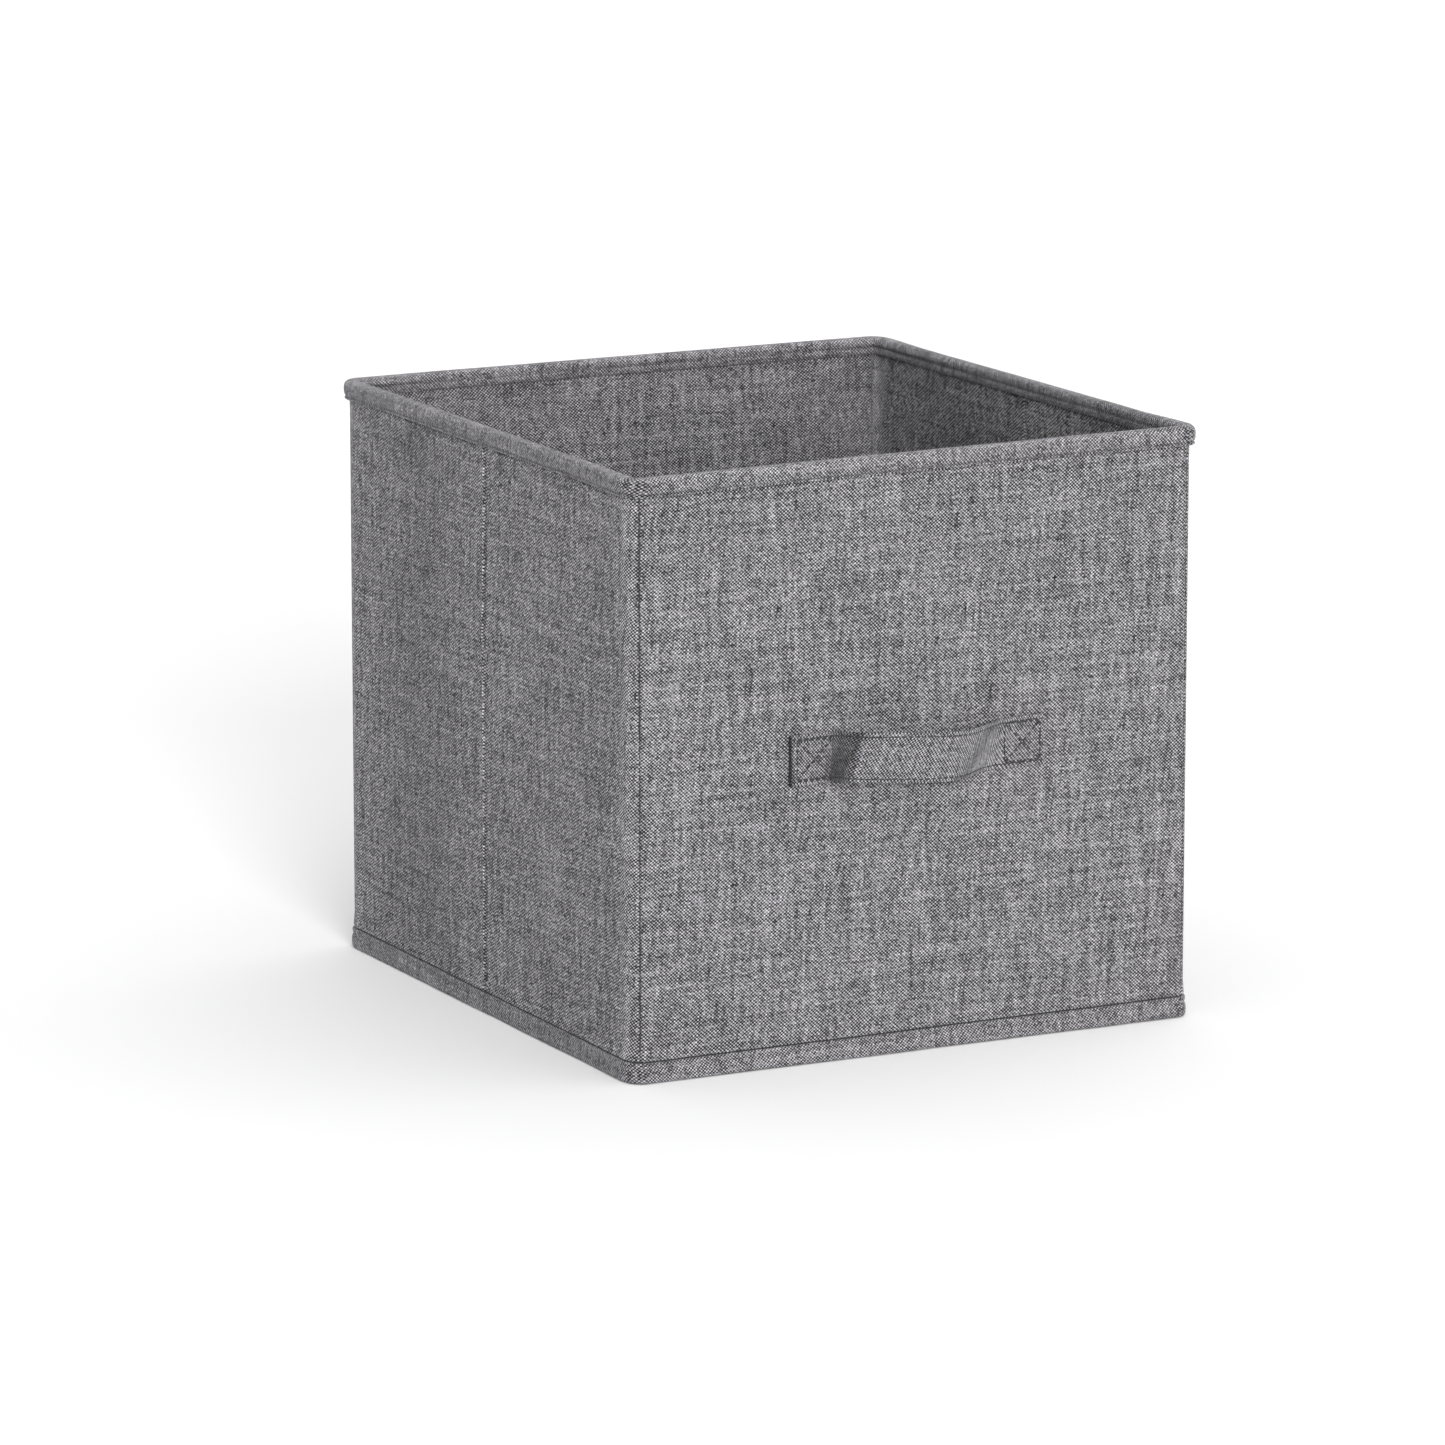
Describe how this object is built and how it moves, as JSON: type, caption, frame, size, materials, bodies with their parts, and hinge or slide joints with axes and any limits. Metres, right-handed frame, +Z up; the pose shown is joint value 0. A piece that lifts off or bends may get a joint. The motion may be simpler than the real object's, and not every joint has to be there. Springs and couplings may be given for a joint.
{
  "type": "folding fabric storage bin",
  "caption": "Open-topped fabric storage bin, nearly cubic, with card-stiffened walls, bound rim, creased side walls that fold inward, a strap handle and a lift-up floor insert.",
  "frame": {"origin": "floor level at the centre of the open bin's base", "axes": "+Z up, -Y towards the front wall that carries the handle, +X to the right seen from the front"},
  "size_m": [0.3, 0.341, 0.285],
  "materials": {
    "wall_cloth": "woven melange",
    "binding_cloth": "woven melange, folded tape",
    "strap_cloth": "woven melange, folded strap",
    "base_cloth": "plain woven",
    "insert_cloth": "woven melange",
    "thread": "twisted thread",
    "card": "plain greyboard"
  },
  "bodies": {
    "back": {"back_board": "card", "back_bottom_binding": "binding_cloth", "back_cover": "wall_cloth", "back_left_corner_hinge": "wall_cloth", "back_right_corner_hinge": "wall_cloth", "back_rim_binding": "binding_cloth", "base_cloth": "base_cloth"},
    "left_back": {"left_back_board": "card", "left_back_bottom_binding": "binding_cloth", "left_back_cover": "wall_cloth", "left_back_rim_binding": "binding_cloth"},
    "left_front": {"left_front_board": "card", "left_front_bottom_binding": "binding_cloth", "left_front_cover": "wall_cloth", "left_front_rim_binding": "binding_cloth"},
    "front": {"front_board": "card", "front_bottom_binding": "binding_cloth", "front_cover": "wall_cloth", "front_left_corner_hinge": "wall_cloth", "front_right_corner_hinge": "wall_cloth", "front_rim_binding": "binding_cloth", "strap_left_end": "strap_cloth", "strap_left_stitch": "thread", "strap_right_end": "strap_cloth", "strap_right_stitch": "thread"},
    "right_back": {"right_back_board": "card", "right_back_bottom_binding": "binding_cloth", "right_back_cover": "wall_cloth", "right_back_rim_binding": "binding_cloth"},
    "right_front": {"right_front_board": "card", "right_front_bottom_binding": "binding_cloth", "right_front_cover": "wall_cloth", "right_front_rim_binding": "binding_cloth"},
    "strap": {"strap_middle": "strap_cloth"},
    "insert": {"insert_board": "card", "insert_cover": "insert_cloth"}
  },
  "joints": [
    {"name": "fold", "type": "hinge", "parent": "back", "child": "left_back", "pos_m": [-0.145, 0.1505, 0], "axis": [0, 0, 1], "range_deg": [0, 68]},
    {"name": "left_crease", "type": "hinge", "parent": "left_back", "child": "left_front", "pos_m": [-0.15, 0, 0], "axis": [0, 0, 1], "range_deg": [-136, 0]},
    {"name": "front_turn", "type": "hinge", "parent": "left_front", "child": "front", "pos_m": [-0.145, -0.1505, 0], "axis": [0, 0, 1], "range_deg": [0, 68]},
    {"name": "right_corner", "type": "hinge", "parent": "back", "child": "right_back", "pos_m": [0.145, 0.1505, 0], "axis": [0, 0, 1], "range_deg": [-68, 0]},
    {"name": "right_crease", "type": "hinge", "parent": "right_back", "child": "right_front", "pos_m": [0.15, 0, 0], "axis": [0, 0, 1], "range_deg": [0, 136]},
    {"name": "handle_swing", "type": "hinge", "parent": "front", "child": "strap", "pos_m": [0, -0.16607, 0.146], "axis": [1, 0, 0], "range_deg": [-22, 22]},
    {"name": "insert_lift", "type": "hinge", "parent": "back", "child": "insert", "pos_m": [0, 0.1532, 0.0039], "axis": [-1, 0, 0], "range_deg": [0, 90]}
  ],
  "couplings": [
    {"joint": "left_crease", "follows": "fold", "ratio": -2},
    {"joint": "front_turn", "follows": "fold", "ratio": 1},
    {"joint": "right_corner", "follows": "fold", "ratio": -1},
    {"joint": "right_crease", "follows": "fold", "ratio": 2}
  ]
}
